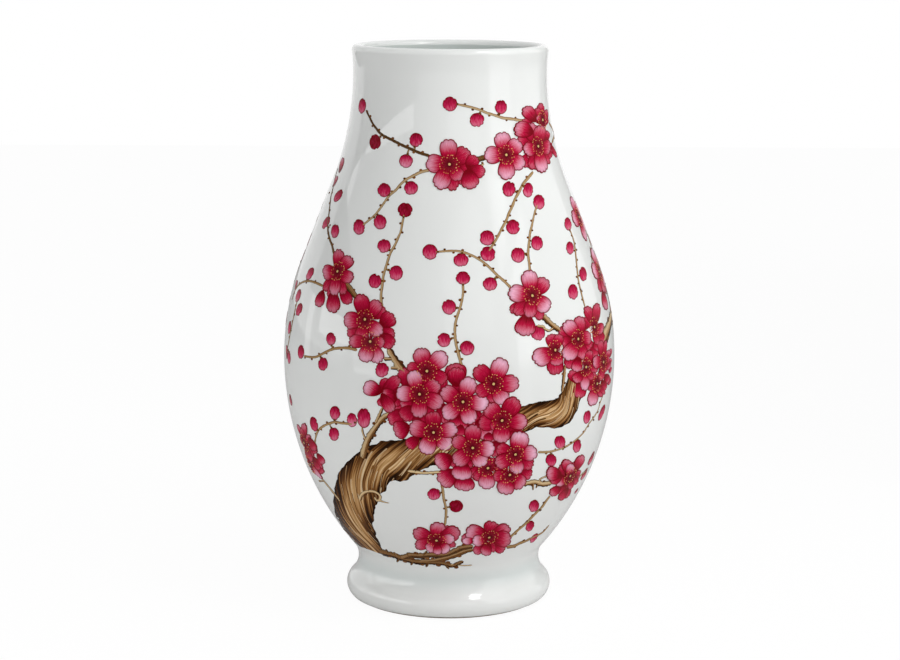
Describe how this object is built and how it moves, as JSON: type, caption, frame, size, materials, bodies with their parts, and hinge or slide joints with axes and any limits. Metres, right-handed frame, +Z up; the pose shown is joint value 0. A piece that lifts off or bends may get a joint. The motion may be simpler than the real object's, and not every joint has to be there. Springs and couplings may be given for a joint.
{
  "type": "porcelain vase",
  "caption": "Wide-mouthed baluster vase of glazed porcelain, with a long shoulder, a full belly, a drawn-in waist and a swelling foot ring, painted with a red plum blossom bough.",
  "frame": {"origin": "centre of the foot rim's flat underside, on the surface that the vase stands on", "axes": "+Z up along the vase's axis, towards the mouth; -Y is the painted front, and +X is to the right of it"},
  "size_m": [0.2076, 0.2076, 0.35],
  "materials": {
    "porcelain": "glossy clear glaze over white porcelain, bare under the foot rim",
    "slip": "fired slip in the seats between the sections, under the glaze"
  },
  "bodies": {
    "root": {"neck_section": "porcelain", "neck_slip": "slip", "upper_body_section": "porcelain", "belly_slip": "slip", "lower_body_section": "porcelain", "floor_slip": "slip", "floor_disc": "porcelain", "foot_slip": "slip", "foot_section": "porcelain"}
  },
  "joints": []
}
